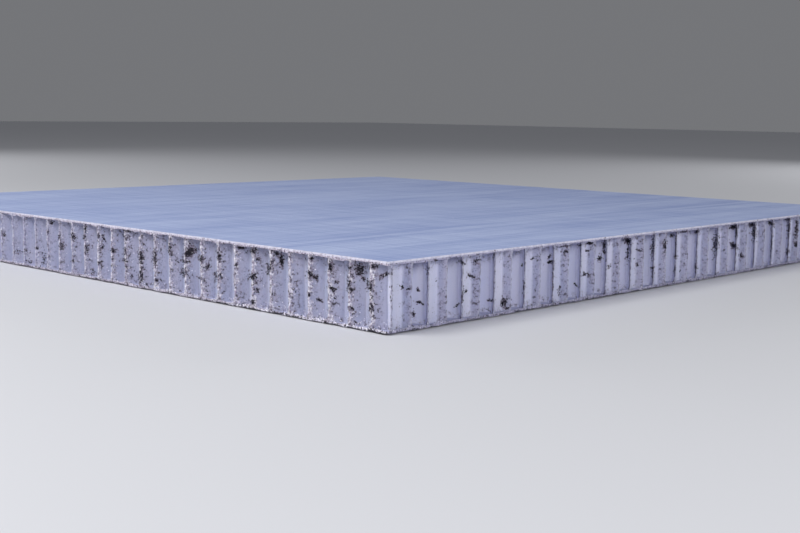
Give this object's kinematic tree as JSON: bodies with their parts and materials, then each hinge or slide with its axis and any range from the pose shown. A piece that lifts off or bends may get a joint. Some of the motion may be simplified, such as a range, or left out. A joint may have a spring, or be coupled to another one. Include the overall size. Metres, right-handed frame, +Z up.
{
  "type": "honeycomb composite panel",
  "caption": "Square sandwich panel with thin plastic face skins bonded to a core of hexagonal cells, open along its sawn edges.",
  "frame": {"origin": "centre of the bottom face", "axes": "+Z up through the thickness, +X and +Y along the sides; X runs across the cell columns and Y along them"},
  "size_m": [0.3, 0.3, 0.02],
  "materials": {
    "skin": "satin, fine straight streaks",
    "core": "milky natural plastic, sawn edges"
  },
  "bodies": {
    "root": {"bottom_skin": "skin", "honeycomb_core": "core", "top_skin": "skin"}
  },
  "joints": []
}
